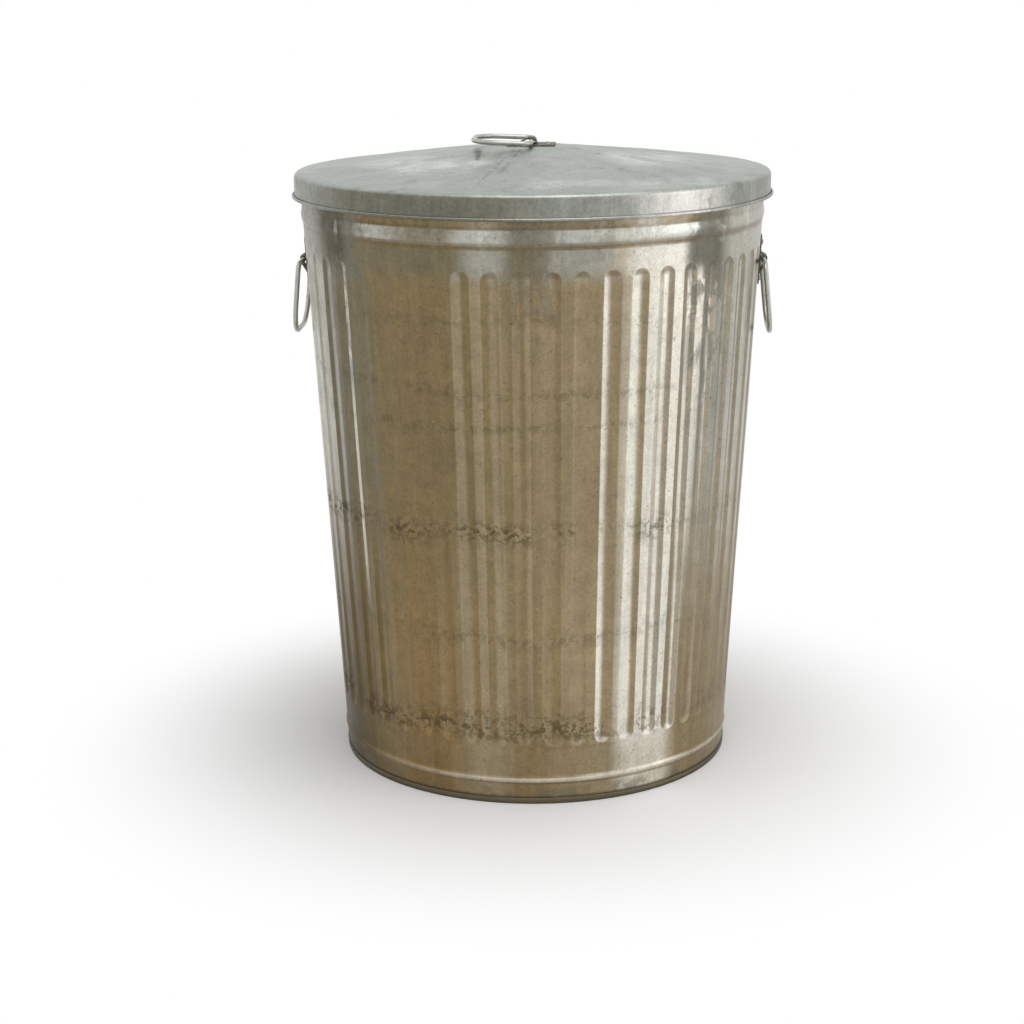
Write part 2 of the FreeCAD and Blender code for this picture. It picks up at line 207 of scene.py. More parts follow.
def spun_places(run, columns, lift=None):
    """The grid that a run (radius, height) makes about the can's axis; lift gives dents as heights."""
    azimuths = np.linspace(0, 2 * math.pi, columns, endpoint=False)
    radii, heights = run[:, :1], run[:, 1:]
    x, y = radii * np.sin(azimuths), -radii * np.cos(azimuths)
    z = np.broadcast_to(heights, x.shape)
    return np.stack([x, y, z if lift is None else z + lift(x, y)], axis=-1)


def skin_radius(height):
    """Middle of the wall's sheet, with its beads and without flutes."""
    radius = np.minimum(BASE_RADIUS + WALL_SLOPE * height, NECK_RADIUS) - SHEET / 2
    for level, band, rise in BEADS:
        share = np.clip(np.abs(height - level) / (band / 2), 0, 1)
        radius = radius + rise * (1 + np.cos(math.pi * share)) / 2
    return radius


def flute_depth(across, height):
    beyond = np.maximum(FLUTE_BOTTOM + FLUTE_HALF - height, height - FLUTE_TOP + FLUTE_HALF)
    reach = np.hypot(across, np.maximum(beyond, 0)) / FLUTE_HALF
    return FLUTE_DEPTH * np.clip(1 - reach**2, 0, 1) ** FLUTE_EDGE_POWER


def seam_rise(across, height):
    """The lock seam's fold, which sinks under the foot's hem."""
    lift = SEAM_RISE * (1 - smooth_step(SEAM_HALF - SEAM_SHOULDER, SEAM_HALF, across))
    return lift * smooth_step(HEM_HEIGHT, HEM_HEIGHT + 2 * SHEET, height)


def wall_sway(azimuth, height):
    """The slight waviness of the rolled sheet."""
    sway = sum(
        size * (np.sin(waves * azimuth + phase) * np.sin(waves_up * height + phase_up))
        for size, waves, phase, waves_up, phase_up in WALL_SWAYS
    )
    return smooth_step(0.03, 0.10, height) * (1 - smooth_step(0.57, 0.61, height)) * sway


def wall_heights():
    """Rows close together where the wall bends, and far apart where it runs straight."""
    def span(low, high, count):
        return np.linspace(low, high, count, endpoint=False)
    low_bead, high_bead = BEADS
    low_half, high_half = low_bead[1] / 2, high_bead[1] / 2
    margin = 0.001
    return np.concatenate([
        span(WALL_FOOT, low_bead[0] - low_half, 4),
        span(low_bead[0] - low_half, low_bead[0] + low_half, 14),
        span(low_bead[0] + low_half, FLUTE_BOTTOM - margin, 4),
        span(FLUTE_BOTTOM - margin, FLUTE_BOTTOM + FLUTE_HALF, 16),
        span(FLUTE_BOTTOM + FLUTE_HALF, FLUTE_TOP - FLUTE_HALF, 26),
        span(FLUTE_TOP - FLUTE_HALF, FLUTE_TOP + margin, 16),
        span(FLUTE_TOP + margin, high_bead[0] - high_half, 4),
        span(high_bead[0] - high_half, high_bead[0] + high_half, 18),
        span(high_bead[0] + high_half, NECK_HEIGHT, 3),
        span(NECK_HEIGHT, NECK_JOINT, 3),
    ])


def fluted_places():
    """The wall below its rim. The lock seam takes the place of the flute at the back."""
    heights = wall_heights()
    radius = skin_radius(heights)
    half_pitch = math.pi / FLUTE_COUNT
    in_flute = FLUTE_HALF * np.array(FLUTE_COLUMNS)
    edge = in_flute[-1] / radius
    offsets = [across / radius for across in in_flute]
    offsets += [edge + (half_pitch - edge) * share for share in LAND_COLUMNS]
    mirrored = [np.full_like(radius, half_pitch), *reversed(offsets[1:])]
    columns = []
    for flute in range(FLUTE_COUNT):
        for side, side_offsets in ((-1, mirrored), (1, offsets)):
            for offset in side_offsets:
                azimuth = 2 * half_pitch * flute + side * offset
                if flute == FLUTE_COUNT // 2:
                    lift = seam_rise(offset * radius, heights)
                else:
                    lift = -flute_depth(offset * radius, heights)
                reach = radius + lift + wall_sway(azimuth, heights)
                columns.append(np.stack([reach * np.sin(azimuth), -reach * np.cos(azimuth), heights], -1))
    return np.stack(columns, axis=1)


def side_wall(material):
    places = fluted_places()
    inner = NECK_RADIUS - SHEET / 2
    top = RIM_TOP - SHEET / 2
    rim = rounded_run([
        (inner, NECK_JOINT, 0),
        (inner, top, RIM_ROLL),
        (inner + 2 * RIM_ROLL, top, RIM_ROLL),
        (inner + 2 * RIM_ROLL, top - 2 * RIM_ROLL, RIM_ROLL),
        (inner + RIM_ROLL - ROLL_EDGE, top - 2 * RIM_ROLL, 0),
    ], arc_step=20)
    outward = places[-1, :, :2] / np.linalg.norm(places[-1, :, :2], axis=1, keepdims=True)
    ring = [np.column_stack([outward * r, np.full(len(outward), z)]) for r, z in rim]
    wall = grid_object("wall_sheet", np.vstack([places, ring]), "can", material)
    thicken(wall)
    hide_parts("side_wall")


def bottom_pan(material):
    half = SHEET / 2
    outer = FOOT_RADIUS - half - WALL_SLOPE * HEM_HEIGHT
    floor_level = FLOOR_TOP - half
    run = rounded_run([
        (CENTRE_GAP, floor_level, 0),
        (outer - HEM_DEPTH + WALL_SLOPE * floor_level, floor_level, PAN_CORNER),
        (outer - HEM_DEPTH, half, HEM_FOLD),
        (outer, half, HEM_FOLD),
        (outer + WALL_SLOPE * HEM_HEIGHT, HEM_HEIGHT, 0),
    ], spacing=0.02, arc_step=20)
    pan = grid_object("pan_sheet", spun_places(run, PAN_COLUMNS), "can", material)
    thicken(pan)
    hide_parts("bottom_pan")


def lid_dents(x, y):
    """Soft dents of the lid's cone, none at its shoulder or under its handle."""
    radius = np.hypot(x, y)
    azimuth = np.arctan2(x, -y)
    free = smooth_step(0.045, 0.10, radius) * (1 - smooth_step(0.215, 0.262, radius))
    lift = sum(size * np.sin(waves * azimuth + phase) for size, waves, phase in LID_WAVES)
    lift = lift + LID_CREASE_SIZE * np.cos(17 * azimuth + 14 * radius) * np.cos(6 * azimuth)
    for height, dent_x, dent_y, reach_x, reach_y in LID_DENTS:
        lift = lift + height * np.exp(-(((x - dent_x) / reach_x) ** 2 + ((y - dent_y) / reach_y) ** 2))
    return free * lift


def lid_shell(material):
    top = LID_HIGH.z - SHEET / 2
    edge = LID_LOW.z + SHEET / 2
    run = rounded_run([
        (CENTRE_GAP, top, 0),
        (LID_MIDDLE_RADIUS, top, LID_MIDDLE_BLEND),
        (SKIRT_RADIUS, top - LID_FALL * (SKIRT_RADIUS - LID_MIDDLE_RADIUS), LID_SHOULDER),
        (SKIRT_RADIUS, edge, SKIRT_ROLL),
        (SKIRT_RADIUS + 2 * SKIRT_ROLL, edge, SKIRT_ROLL),
        (SKIRT_RADIUS + 2 * SKIRT_ROLL, edge + 2 * SKIRT_ROLL, SKIRT_ROLL),
        (SKIRT_RADIUS + SKIRT_ROLL, edge + 2 * SKIRT_ROLL, 0),
    ], spacing=0.006, arc_step=15)
    places = spun_places(run, LID_COLUMNS, lid_dents)
    lid = grid_object("lid_sheet", places, "lid", material)
    thicken(lid)
    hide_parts("lid_shell")


def wire_ring(name, body, width, drop, bend, tilt, outward, pivot, material):
    """A bail that hangs from its pivot, swung by tilt from plumb towards outward."""
    half = width / 2
    run = rounded_run([
        (WIRE_GAP / 2, 0, 0),
        (half, 0, WIRE_TOP_BEND),
        (half, -drop, bend),
        (-half, -drop, bend),
        (-half, 0, WIRE_TOP_BEND),
        (-WIRE_GAP / 2, 0, 0),
    ], spacing=0.006, arc_step=6)
    along = np.gradient(run, axis=0)
    along /= np.linalg.norm(along, axis=1, keepdims=True)
    across = np.column_stack([along[:, 1], -along[:, 0]])
    upward = Vector((0, 0, 1))
    side = upward.cross(outward)
    upward.rotate(Matrix.Rotation(math.radians(-tilt), 3, side))
    flat = np.array([side, upward])
    through = np.array(side.cross(upward))
    turns = np.linspace(0, 2 * math.pi, WIRE_SIDES, endpoint=False)
    centres = np.array(pivot) + run @ flat
    places = centres[:, None] + WIRE_RADIUS * (
        np.cos(turns)[None, :, None] * (across @ flat)[:, None]
        + np.sin(turns)[None, :, None] * through
    )
    caps = [centres[:1, None].repeat(len(turns), 1), centres[-1:, None].repeat(len(turns), 1)]
    ring = grid_object(name, np.vstack([caps[0], places, caps[1]]), body, material)
    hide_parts(body)


# ---- materials ------------------------------------------------------------------------------------------
DEGREES = 180 / math.pi
BUMP_STRENGTH = 0.5
BUMP_DEPTH = 0.0002
FINE_BUMP_DEPTH = 0.0001


def shade(red, green, blue):
    """A colour read off as 0 to 255, as the shaders need it."""
    def linear(value):
        value /= 255
        return value / 12.92 if value <= 0.04045 else ((value + 0.055) / 1.055) ** 2.4
    return linear(red), linear(green), linear(blue), 1.0


class Finish:
    """A metal and the nodes that colour it."""

    def __init__(self, name, colour=None):
        self.material = bpy.data.materials.new(name)
        self.material.use_nodes = True
        self.tree = self.material.node_tree
        self.shader = self.tree.nodes["Principled BSDF"]
        self.shader.inputs["Metallic"].default_value = 1.0
        coordinates = self.tree.nodes.new("ShaderNodeTexCoord")
        self.place = coordinates.outputs["Object"]
        self.normal = coordinates.outputs["Normal"]
        self.colour = colour

    def put(self, socket, value):
        if isinstance(value, bpy.types.NodeSocket):
            self.tree.links.new(value, socket)
        else:
            socket.default_value = value

    def math(self, operation, *values, clamp=False):
        node = self.tree.nodes.new("ShaderNodeMath")
        node.operation = operation
        node.use_clamp = clamp
        for socket, value in zip(node.inputs, values):
            self.put(socket, value)
        return node.outputs[0]

    def times(self, value, *others):
        for other in others:
            value = self.math("MULTIPLY", value, other)
        return value

    def scaled(self, value, amount, start):
        """The value times an amount, added to a start."""
        return self.math("MULTIPLY_ADD", value, amount, start)

    def without(self, value, share=1.0):
        """1 where the value is 0, and less by the share where it is 1."""
        return self.scaled(value, -share, 1.0)

    def parts(self, vector):
        node = self.tree.nodes.new("ShaderNodeSeparateXYZ")
        self.put(node.inputs[0], vector)
        return node.outputs

    def azimuth(self):
        """Degrees from the front towards +X."""
        x, y, z = self.parts(self.place)
        return self.times(self.math("ARCTAN2", x, self.times(y, -1.0)), DEGREES)

    def slope(self):
        """Degrees that the surface is turned from straight outward, the same on both faces of a sheet."""
        x, y, z = self.parts(self.place)
        normal_x, normal_y, normal_z = self.parts(self.normal)
        radius = self.math("SQRT", self.scaled(x, x, self.times(y, y)))
        cross = self.math("SUBTRACT", self.times(x, normal_y), self.times(y, normal_x))
        return self.times(self.math("DIVIDE", cross, radius), DEGREES)

    def spread(self, value, low, high, soft=True):
        """0 at the low value and 1 at the high one."""
        node = self.tree.nodes.new("ShaderNodeMapRange")
        node.interpolation_type = "SMOOTHSTEP" if soft else "LINEAR"
        for socket, number in zip(node.inputs, (value, low, high, 0.0, 1.0)):
            self.put(socket, number)
        return node.outputs[0]

    def between(self, value, low, full, end, gone):
        """Grows from low to full and fades again from end to gone."""
        return self.times(self.spread(value, low, full), self.spread(value, gone, end))

    def near(self, value, level, outer, inner):
        """1 within the inner distance of a level, and 0 from the outer distance on."""
        return self.spread(self.math("ABSOLUTE", self.math("SUBTRACT", value, level)), outer, inner)

    def streak(self, start, end, width):
        """1 along a line between two places, seen from above, fading to 0 at its width."""
        (start_x, start_y), (end_x, end_y) = start, end
        way_x, way_y = end_x - start_x, end_y - start_y
        share_x, share_y = way_x / (way_x**2 + way_y**2), way_y / (way_x**2 + way_y**2)
        x, y, z = self.parts(self.place)
        across_x = self.math("SUBTRACT", x, start_x)
        across_y = self.math("SUBTRACT", y, start_y)
        along = self.math("MULTIPLY_ADD", across_x, share_x, self.times(across_y, share_y), clamp=True)
        off_x = self.scaled(along, -way_x, across_x)
        off_y = self.scaled(along, -way_y, across_y)
        squared = self.scaled(off_x, off_x, self.times(off_y, off_y))
        return self.spread(self.math("SQRT", squared), width, width * 0.2)

    def stretched(self, x, y, z):
        node = self.tree.nodes.new("ShaderNodeVectorMath")
        node.operation = "MULTIPLY"
        self.put(node.inputs[0], self.place)
        self.put(node.inputs[1], (x, y, z))
        return node.outputs[0]

    def noise(self, scale, detail=3.0, roughness=0.5, distortion=0.0, place=None):
        node = self.tree.nodes.new("ShaderNodeTexNoise")
        self.put(node.inputs["Vector"], place or self.place)
        names = ("Scale", "Detail", "Roughness", "Distortion")
        for name, value in zip(names, (scale, detail, roughness, distortion)):
            self.put(node.inputs[name], value)
        return node.outputs["Fac"]

    def grain(self, scale):
        """A value of its own for each crystal of the zinc."""
        node = self.tree.nodes.new("ShaderNodeTexVoronoi")
        self.put(node.inputs["Vector"], self.place)
        self.put(node.inputs["Scale"], scale)
        return self.math("FRACT", self.parts(node.outputs["Color"])[0])

    def ramp(self, value, low, high, stops):
        """Colours or shares at stops of a value that runs from low to high."""
        node = self.tree.nodes.new("ShaderNodeValToRGB")
        self.put(node.inputs[0], self.spread(value, low, high, soft=False))
        elements = node.color_ramp.elements
        while len(elements) < len(stops):
            elements.new(1.0)
        for element, (place, colour) in zip(elements, stops):
            element.position = (place - low) / (high - low)
            element.color = colour if isinstance(colour, tuple) else (colour, colour, colour, 1.0)
        return node.outputs["Color"]

    def tint(self, tone, *shares):
        """Lays a tone over the colour, by the product of the shares."""
        node = self.tree.nodes.new("ShaderNodeMix")
        node.data_type = "RGBA"
        self.put(node.inputs[0], self.times(*shares))
        self.put(node.inputs[6], self.colour)
        self.put(node.inputs[7], tone)
        self.colour = node.outputs[2]

    def vary(self, amount, value):
        """Brightens the colour where the value is above a half and darkens it where it is below."""
        factor = self.math("ADD", 1.0, self.times(self.math("SUBTRACT", value, 0.5), amount))
        node = self.tree.nodes.new("ShaderNodeVectorMath")
        node.operation = "SCALE"
        self.put(node.inputs[0], self.colour[:3] if isinstance(self.colour, tuple) else self.colour)
        self.put(node.inputs["Scale"], factor)
        self.colour = node.outputs[0]

    def mottle(self, mottles):
        for scale, detail, roughness, distortion, amount in mottles:
            self.vary(amount, self.noise(scale, detail, roughness, distortion))

    def finish(self, roughness, relief, depth=BUMP_DEPTH):
        self.put(self.shader.inputs["Base Color"], self.colour)
        self.put(self.shader.inputs["Roughness"], roughness)
        bump = self.tree.nodes.new("ShaderNodeBump")
        self.put(bump.inputs["Height"], relief)
        self.put(bump.inputs["Distance"], depth)
        self.put(bump.inputs["Strength"], BUMP_STRENGTH)
        self.put(self.shader.inputs["Normal"], bump.outputs[0])
        return self.material


SILVER = shade(186, 184, 172)
STEEL = shade(160, 158, 146)
GREY = shade(112, 110, 98)
LINE = shade(104, 96, 78)
OLIVE = shade(120, 111, 88)
KHAKI = shade(129, 113, 82)
UMBER = shade(110, 93, 59)
AMBER = shade(136, 114, 79)
MIST = shade(214, 217, 209)
TAN = shade(150, 134, 105)
CLAY = shade(137, 120, 88)
BROWN = shade(116, 97, 66)
GOLD = shade(138, 117, 82)
SAND = shade(153, 139, 112)
FLANK_SHADE = shade(142, 129, 107)
BEIGE = shade(190, 180, 160)
PALE = shade(222, 218, 205)
DARK = shade(76, 68, 52)
STAIN = shade(70, 60, 42)
PEAT = shade(90, 75, 44)

# Painted reflections round the can, by azimuth: the smooth band under the top bead, the upper flutes and
# the lower ones.
TOP_REFLECTION_TONES = (
    (-180, TAN), (-150, SAND), (-125, OLIVE), (-100, STEEL), (-66, STEEL), (-58, GREY), (-50, GREY),
    (-44, OLIVE), (-16, OLIVE), (-11, STEEL), (-5, STEEL), (-1, OLIVE), (5, OLIVE), (9, STEEL), (19, STEEL),
    (24, BEIGE), (28, PALE), (39, PALE), (42, GREY), (51, GREY), (55, SILVER), (110, SILVER), (130, SAND),
    (155, OLIVE), (180, TAN),
)
UPPER_REFLECTION_TONES = (
    (-180, TAN), (-150, SAND), (-125, OLIVE), (-100, SILVER), (-64, SILVER), (-58, STEEL), (-54, LINE),
    (-49, OLIVE), (-42, OLIVE), (-36, KHAKI), (-18, KHAKI), (-12, SAND), (-7, SAND), (-3, CLAY), (1, CLAY),
    (5, TAN), (19, TAN), (23, SAND), (27, BEIGE), (30, PALE), (46, PALE), (50, STEEL), (57, STEEL),
    (61, SILVER), (110, SILVER), (130, SAND), (155, OLIVE), (180, TAN),
)
LOWER_REFLECTION_TONES = (
    (-180, TAN), (-120, SAND), (-90, PEAT), (-62, PEAT), (-54, UMBER), (-46, KHAKI), (-38, CLAY),
    (-33, AMBER), (-23, AMBER), (-14, SAND), (-8, SAND), (-3, CLAY), (5, CLAY), (10, TAN), (19, TAN),
    (24, SAND), (29, PALE), (41, PALE), (47, CLAY), (95, CLAY), (140, OLIVE), (180, TAN),
)
FLUTE_SHARE = 0.6  # how much of a flute's own slope the tones follow
CALM_CUT = 0.75  # how much less they follow it on the smooth-looking left front
WANDER = 8.0  # how far the tones' borders wander, in degrees
UPPER_START = (0.12, 0.42)  # heights between which the upper tones take over from the lower ones
TOP_START = (0.575, 0.600)  # and the smooth band's tones from the upper ones
BACK_FADE = (135, 95)  # azimuths on both sides between which a mark of the front or the sides grows

# Heights across the top bead: a brown line of painted shade in its lower bend, a bright crest of painted
# highlight, then the brown neck in painted shade under the lid.
TOP_BAND = (0.61, 0.66)
TOP_BAND_TONES = (
    (0.6100, TAN), (0.6165, BROWN), (0.6205, BROWN), (0.6240, MIST), (0.6365, MIST), (0.6380, BROWN),
    (0.6400, BROWN), (0.6420, GOLD), (0.6600, GOLD),
)
TOP_BAND_SHARES = (
    (0.6100, 0.0), (0.6160, 0.0), (0.6175, 0.75), (0.6200, 0.75), (0.6225, 0.1), (0.6250, 0.8),
    (0.6360, 0.8), (0.6380, 0.7), (0.6600, 0.7),
)
CREST_LEVEL = 0.6303
# How bright the crest's painted highlight is at azimuths round the can.
CREST_SHARES = (
    (-70, 0.3), (-60, 0.2), (-48, 0.7), (-34, 0.7), (-26, 0.2), (-18, 0.3), (-12, 0.7), (-6, 0.6),
    (0, 0.2), (7, 0.2), (12, 0.7), (20, 0.4), (27, 1.0), (44, 1.0), (50, 0.2), (60, 0.5),
)
# How stained the wall is at heights.
STAIN_BANDS = (
    (0.060, 0.0), (0.088, 1.0), (0.112, 0.1), (0.180, 0.05), (0.193, 0.45), (0.206, 0.05),
    (0.292, 0.1), (0.312, 1.0), (0.328, 0.1), (0.420, 0.05), (0.428, 0.5), (0.436, 0.05),
    (0.458, 0.05), (0.466, 0.5), (0.474, 0.05), (0.530, 0.05), (0.540, 0.35), (0.550, 0.05),
    (0.610, 0.1), (0.640, 0.3),
)
# Noises that vary the brightness: scale, detail, roughness, distortion and amount.
WALL_MOTTLES = ((3.5, 2.0, 0.5, 0.0, 0.35), (28.0, 5.0, 0.7, 0.0, 0.45), (300.0, 4.0, 0.75, 0.0, 0.80))
LID_MOTTLES = ((7.0, 3.0, 0.6, 0.0, 0.35), (30.0, 5.0, 0.7, 0.6, 0.55), (260.0, 4.0, 0.7, 0.0, 0.80))
FINE_MOTTLE = (420.0, 2.0, 0.5, 0.0, 0.30)


class WallFinish(Finish):
    """The wall's metal. Its tones are painted reflections that follow azimuth, height and the way the
    surface faces, and its stains lie in level bands.
    """

    def __init__(self):
        super().__init__("galvanized_wall")
        self.height = self.parts(self.place)[2]
        self.rise = self.parts(self.normal)[2]
        self.around = self.azimuth()
        self.aside = self.math("ABSOLUTE", self.around)
        self.lean = self.slope()

    def sideways(self, low, high):
        """Grows from one azimuth to another and fades again before the back."""
        return self.times(self.spread(self.around, low, high), self.spread(self.aside, *BACK_FADE))

    def paint_reflections_round(self):
        # painted reflections: the tones follow the azimuth the surface faces, not only the azimuth of the
        # place
        calm = self.between(self.around, -62, -52, -26, -18)
        follow = self.scaled(calm, -CALM_CUT * FLUTE_SHARE, FLUTE_SHARE)
        wander = self.noise(5.0, place=self.stretched(1, 1, 0.5))
        turn = self.scaled(self.lean, follow, self.around)
        turn = self.math("ADD", turn, self.scaled(wander, WANDER, -WANDER / 2))
        self.colour = self.ramp(turn, -180, 180, LOWER_REFLECTION_TONES)
        self.tint(self.ramp(turn, -180, 180, UPPER_REFLECTION_TONES), self.spread(self.height, *UPPER_START))
        self.tint(self.ramp(turn, -180, 180, TOP_REFLECTION_TONES), self.spread(self.height, *TOP_START))

    def paint_flute_light_and_shade(self):
        """Painted shade in the flutes' upper ends and flanks, and painted light in their lower ends, by the
        way the surface faces.
        """
        self.tint(BROWN, self.spread(self.rise, -0.10, -0.28), self.sideways(-30, 5), 0.6)
        self.tint(PALE, self.spread(self.rise, 0.0, 0.20), self.between(self.around, 10, 24, 44, 54), 0.5)
        steep = self.spread(self.math("ABSOLUTE", self.lean), 5.0, 11.0)
        self.tint(FLANK_SHADE, steep, self.sideways(31, 38), 0.8)
        self.tint(PEAT, steep, self.sideways(-38, -46), self.spread(self.height, 0.36, 0.16), 0.6)
        # painted highlight: one thin bright line at the left
        glint = self.times(self.spread(self.lean, -3.0, -8.0), self.spread(self.height, 0.18, 0.30))
        self.tint(PALE, glint, self.between(self.around, -52.5, -51.5, -47.0, -46.0), 0.9)

    def paint_bead_light_and_shade(self):
        # Painted light and shade of the beads: painted shade and highlight across the top bead, and a
        # painted highlight on the lower bead.
        front = self.without(self.spread(self.aside, 50, 68), 0.7)
        blotches = self.scaled(self.spread(self.noise(11.0, 4.0, 0.65), 0.38, 0.58), 0.6, 0.4)
        on_crest = self.near(self.height, CREST_LEVEL, 0.0085, 0.006)
        dim = self.without(self.ramp(self.around, -180, 180, CREST_SHARES))
        bright = self.without(self.times(on_crest, dim))
        share = self.ramp(self.height, *TOP_BAND, TOP_BAND_SHARES)
        self.tint(self.ramp(self.height, *TOP_BAND, TOP_BAND_TONES), share, front, blotches, bright)
        # painted highlight on the lower bead
        self.tint(PALE, self.near(self.height, BEADS[0][0], 0.0035, 0.0012), self.sideways(-60, 12), 0.6)
        # painted pale reflection made duller between the flutes and the foot
        self.tint(SAND, self.spread(self.height, 0.075, 0.050), self.sideways(20, 28), 0.3)

    def dapples(self):
        """Grey mottling high on both sides and in the middle, and a dark smudge at the upper left."""
        sides = self.times(self.spread(self.aside, 40, 45), self.spread(self.height, 0.36, 0.56))
        sides = self.times(sides, self.without(self.spread(self.aside, 53, 60), 0.75))
        middle = self.times(self.near(self.around, 3.0, 8.0, 4.0), self.spread(self.height, 0.48, 0.54))
        dapple = self.noise(1.0, 5.0, 0.7, 0.6, self.stretched(60, 60, 24))
        dapple = self.scaled(self.spread(self.height, 0.54, 0.61), 0.10, dapple)
        dapple = self.spread(dapple, 0.46, 0.58)
        self.tint(GREY, dapple, self.scaled(middle, 0.5, sides), 0.8)
        smudge = self.between(self.around, -61, -56, -50, -46)
        self.tint(DARK, smudge, self.spread(self.height, 0.575, 0.605), self.scaled(dapple, 0.5, 0.3))

    def stains(self):
        wavy = self.scaled(self.noise(9.0), 0.03, self.math("SUBTRACT", self.height, 0.015))
        band = self.ramp(wavy, 0.0, 0.7, STAIN_BANDS)
        marks = self.spread(self.noise(150.0, 4.0, 0.65, 0.5), 0.46, 0.56)
        patches = self.spread(self.noise(14.0), 0.30, 0.50)
        stain = self.times(marks, band, patches, self.without(self.sideways(34, 44), 0.65))
        self.tint(STAIN, stain, 0.72)
        # grey bloom and a dark line at the foot, then small specks all over
        bloom = self.spread(self.noise(45.0, 4.0, 0.6), 0.46, 0.58)
        self.tint(GREY, bloom, self.spread(self.height, 0.024, 0.014), 0.55)
        self.tint(STAIN, self.spread(self.height, 0.011, 0.007), 0.6)
        self.tint(STAIN, self.spread(self.noise(210.0, 3.0, 0.6), 0.62, 0.72), 0.4)
        return stain


def wall_finish():
    metal = WallFinish()
    metal.paint_reflections_round()
    metal.paint_flute_light_and_shade()
    metal.paint_bead_light_and_shade()
    metal.dapples()
    metal.mottle(WALL_MOTTLES)
    metal.vary(0.45, metal.noise(1.0, 4.0, 0.6, place=metal.stretched(110, 110, 4)))
    metal.vary(0.10, metal.grain(80.0))
    stain = metal.stains()
    dull = metal.scaled(stain, 0.2, metal.scaled(metal.noise(40.0), 0.16, 0.30))
    return metal.finish(dull, metal.noise(180.0, 3.0))


# The lid top's tone is a painted reflection, laid where the sheet faces up.
LID_TOP_TONE = shade(158, 163, 156)
LID_HIGHLIGHT_TONE = shade(206, 210, 204)
LID_SHADE_AND_SPOT_TONE = shade(92, 94, 88)
SKIRT_DULL = shade(118, 117, 105)
SKIRT_MILD = shade(148, 149, 141)
SKIRT_BRIGHT = shade(196, 195, 189)
# Painted reflections round the skirt, by azimuth.
LID_SKIRT_REFLECTIONS = (
    (-180, SKIRT_MILD), (-60, SKIRT_MILD), (-45, SKIRT_DULL), (-5, SKIRT_DULL), (10, SKIRT_MILD),
    (22, SKIRT_MILD), (32, SKIRT_BRIGHT), (44, SKIRT_BRIGHT), (56, SKIRT_MILD), (180, SKIRT_MILD),
)
# Painted shade on the lid's top: dark lines along its creases, a painted shadow and reflection of the
# handle's grip, and three small dark spots; where they start and end, their width and how dark they are.
LID_SHADES_AND_SPOTS = (
    ((-0.057, -0.030), (-0.056, -0.080), 0.0045, 0.80),
    ((-0.020, -0.060), (-0.034, -0.150), 0.0240, 0.30),
    ((-0.016, -0.030), (-0.046, -0.215), 0.0030, 0.55),
    ((-0.011, -0.040), (-0.026, -0.165), 0.0026, 0.50),
    ((-0.034, -0.105), (-0.016, -0.160), 0.0022, 0.40),
    ((0.075, -0.050), (0.215, -0.100), 0.0024, 0.45),
    ((0.095, -0.125), (0.140, -0.155), 0.0040, 0.45),
    ((-0.008, -0.066), (-0.006, -0.067), 0.0026, 0.80),
    ((0.074, -0.050), (0.076, -0.051), 0.0024, 0.80),
    ((0.054, -0.229), (0.056, -0.230), 0.0024, 0.80),
)
# Painted highlights on the lid's top, where its dents face the light: where they start and end, their width
# and how light they are.
LID_PAINTED_HIGHLIGHTS = (
    ((-0.150, -0.030), (-0.115, -0.090), 0.062, 0.80),
    ((0.118, -0.060), (0.150, 0.010), 0.060, 0.80),
    ((-0.055, -0.100), (-0.085, -0.112), 0.034, 0.6),
    ((0.020, -0.222), (0.085, -0.205), 0.024, 0.5),
    ((0.130, -0.195), (0.190, -0.160), 0.034, 0.5),
    ((0.020, 0.120), (-0.060, 0.150), 0.060, 0.5),
)


def lid_finish():
    metal = Finish("galvanized_lid")
    # painted reflection: the top's tone where the sheet faces up, the skirt's tones by azimuth elsewhere
    top = metal.spread(metal.parts(metal.normal)[2], 0.25, 0.85)
    metal.colour = metal.ramp(metal.azimuth(), -180, 180, LID_SKIRT_REFLECTIONS)
    metal.vary(0.5, metal.noise(1.0, 3.0, 0.6, place=metal.stretched(170, 170, 5)))
    metal.tint(LID_TOP_TONE, top)
    highlight_breakup = metal.times(metal.spread(metal.noise(24.0, 6.0, 0.7, 0.7), 0.30, 0.66), top)
    shade_breakup = metal.times(metal.spread(metal.noise(70.0, 4.0, 0.6), 0.36, 0.56), top)
    # painted highlights and painted shade on the lid's top
    for tone, shown, streaks in ((LID_HIGHLIGHT_TONE, highlight_breakup, LID_PAINTED_HIGHLIGHTS), (LID_SHADE_AND_SPOT_TONE, shade_breakup, LID_SHADES_AND_SPOTS)):
        for start, end, width, amount in streaks:
            metal.tint(tone, metal.streak(start, end, width), shown, amount)
    metal.mottle(LID_MOTTLES)
    metal.vary(0.08, metal.grain(70.0))
    metal.tint(GREY, metal.spread(metal.noise(34.0, 4.0, 0.6, 0.8), 0.58, 0.70), 0.4)
    return metal.finish(metal.scaled(metal.noise(25.0), 0.16, 0.34), metal.noise(150.0, 3.0))


def plain_metal(name, tone, roughness, mottle=0.4):
    metal = Finish(name, tone)
    metal.mottle(((90.0, 3.0, 0.6, 0.0, mottle), FINE_MOTTLE))
    metal.tint(DARK, metal.spread(metal.noise(160.0, 3.0), 0.60, 0.72), 0.4)
    dull = metal.scaled(metal.noise(120.0), 0.2, roughness - 0.1)
    return metal.finish(dull, metal.noise(300.0, 2.0), FINE_BUMP_DEPTH)


# ---- the pieces -----------------------------------------------------------------------------------------
WIRE_TONE = shade(176, 177, 170)
EAR_TONE = shade(104, 101, 90)
PAN_TONE = shade(94, 87, 72)
RIVET_TONE = shade(140, 139, 130)

wire_metal = plain_metal("handle_wire", WIRE_TONE, 0.35)
ear_metal = plain_metal("zinc_stamping", EAR_TONE, 0.5, 0.6)

